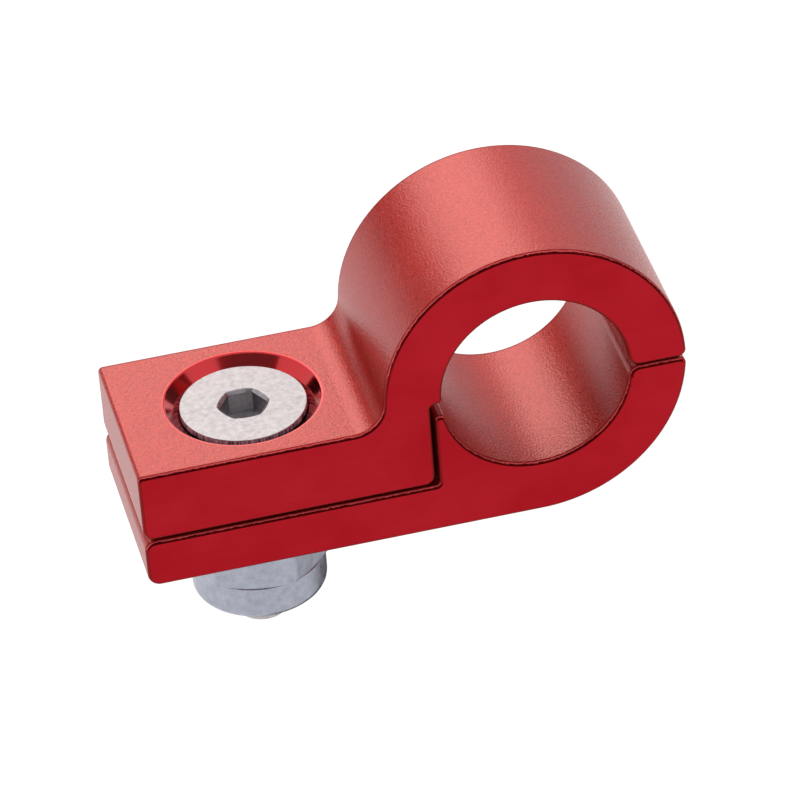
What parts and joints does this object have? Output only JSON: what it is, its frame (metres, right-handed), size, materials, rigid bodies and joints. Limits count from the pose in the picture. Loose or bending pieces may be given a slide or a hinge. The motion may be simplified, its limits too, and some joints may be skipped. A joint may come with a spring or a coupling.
{
  "type": "p clip",
  "caption": "Split P-shaped tube clip with flat clamping arms, closed by a countersunk socket screw and a lock nut beneath.",
  "frame": {"origin": "middle of the tube bore, halfway along it", "axes": "+X from the arms to the nose of the clip, +Y along the tube, +Z from the lower arm to the upper arm"},
  "size_m": [0.0525, 0.019, 0.0409],
  "materials": {
    "anodised_halves": "red anodised, satin outside and polished on the cut faces",
    "screw_steel": "bright plated steel with faint turning marks",
    "nut_steel": "bluish zinc plated steel",
    "insert_nylon": "matte natural nylon"
  },
  "bodies": {
    "root": {"upper_half": "anodised_halves", "lower_half": "anodised_halves", "clamp_screw": "screw_steel", "lock_nut": "nut_steel", "nylon_insert": "insert_nylon"}
  },
  "joints": []
}
